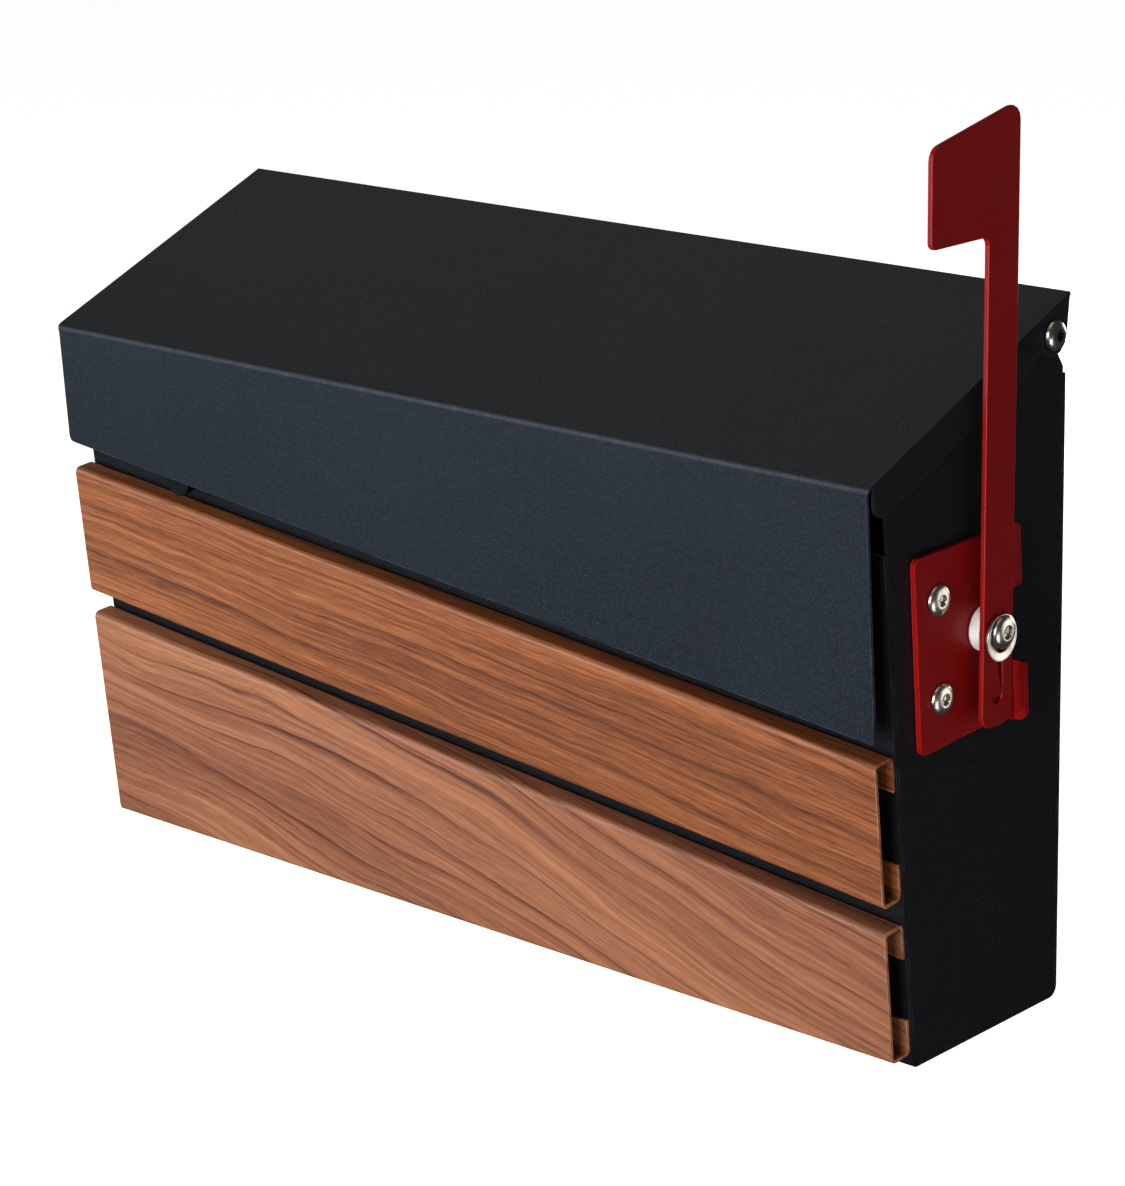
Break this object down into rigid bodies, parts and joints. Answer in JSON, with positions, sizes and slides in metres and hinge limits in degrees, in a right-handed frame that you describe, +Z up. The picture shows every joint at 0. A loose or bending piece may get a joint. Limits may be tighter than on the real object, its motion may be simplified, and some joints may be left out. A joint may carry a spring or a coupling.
{
  "type": "wall mounted mailbox",
  "caption": "Slim folded-steel wall mailbox with a swinging roof lid, slanted wood-look front panels and a signal flag on its side.",
  "frame": {"origin": "on the wall plane, at the middle of the mailbox's width, level with the underside of its floor", "axes": "+X to the right across the front, +Y into the wall, +Z up"},
  "size_m": [0.418, 0.1187, 0.3269],
  "materials": {
    "black_powder_coat": "fine-textured satin black powder coat on steel sheet",
    "wood_look_coating": "printed walnut grain under satin clear powder coat, on steel sheet",
    "red_powder_coat": "satin red powder coat on steel sheet",
    "stainless_steel": "plain stainless fastener",
    "white_nylon": "natural white nylon",
    "black_rubber": "matt moulded rubber"
  },
  "bodies": {
    "root": {"body_wrap": "black_powder_coat", "side_panel_left": "black_powder_coat", "side_panel_right": "black_powder_coat", "upper_panel": "wood_look_coating", "lower_panel": "wood_look_coating", "upper_panel_screw_top_left": "stainless_steel", "upper_panel_screw_top_right": "stainless_steel", "upper_panel_screw_bottom_left": "stainless_steel", "upper_panel_screw_bottom_right": "stainless_steel", "lower_panel_screw_top_left": "stainless_steel", "lower_panel_screw_top_right": "stainless_steel", "lower_panel_screw_bottom_left": "stainless_steel", "lower_panel_screw_bottom_right": "stainless_steel", "lid_hinge_screw_left": "stainless_steel", "lid_hinge_screw_right": "stainless_steel", "lid_hinge_nut_left": "stainless_steel", "lid_hinge_nut_right": "stainless_steel", "flag_bracket": "red_powder_coat", "bracket_screw_upper": "stainless_steel", "bracket_screw_lower": "stainless_steel", "bracket_nut_upper": "stainless_steel", "bracket_nut_lower": "stainless_steel", "flag_spacer": "white_nylon", "flag_washer": "stainless_steel", "flag_pivot_bolt": "stainless_steel", "flag_lock_nut": "stainless_steel", "wall_spacer_upper_left": "black_rubber", "wall_spacer_upper_right": "black_rubber", "wall_spacer_lower_left": "black_rubber", "wall_spacer_lower_right": "black_rubber"},
    "lid": {"lid": "black_powder_coat", "lid_bumper_left": "black_rubber", "lid_bumper_right": "black_rubber"},
    "flag": {"flag": "red_powder_coat"}
  },
  "joints": [
    {"name": "lid_hinge", "type": "hinge", "parent": "root", "child": "lid", "pos_m": [0, -0.0175, 0.2435], "axis": [-1, 0, 0], "range_deg": [0, 100]},
    {"name": "flag_hinge", "type": "hinge", "parent": "root", "child": "flag", "pos_m": [0.2083, -0.058, 0.1505], "axis": [1, 0, 0], "range_deg": [0, 90]}
  ]
}
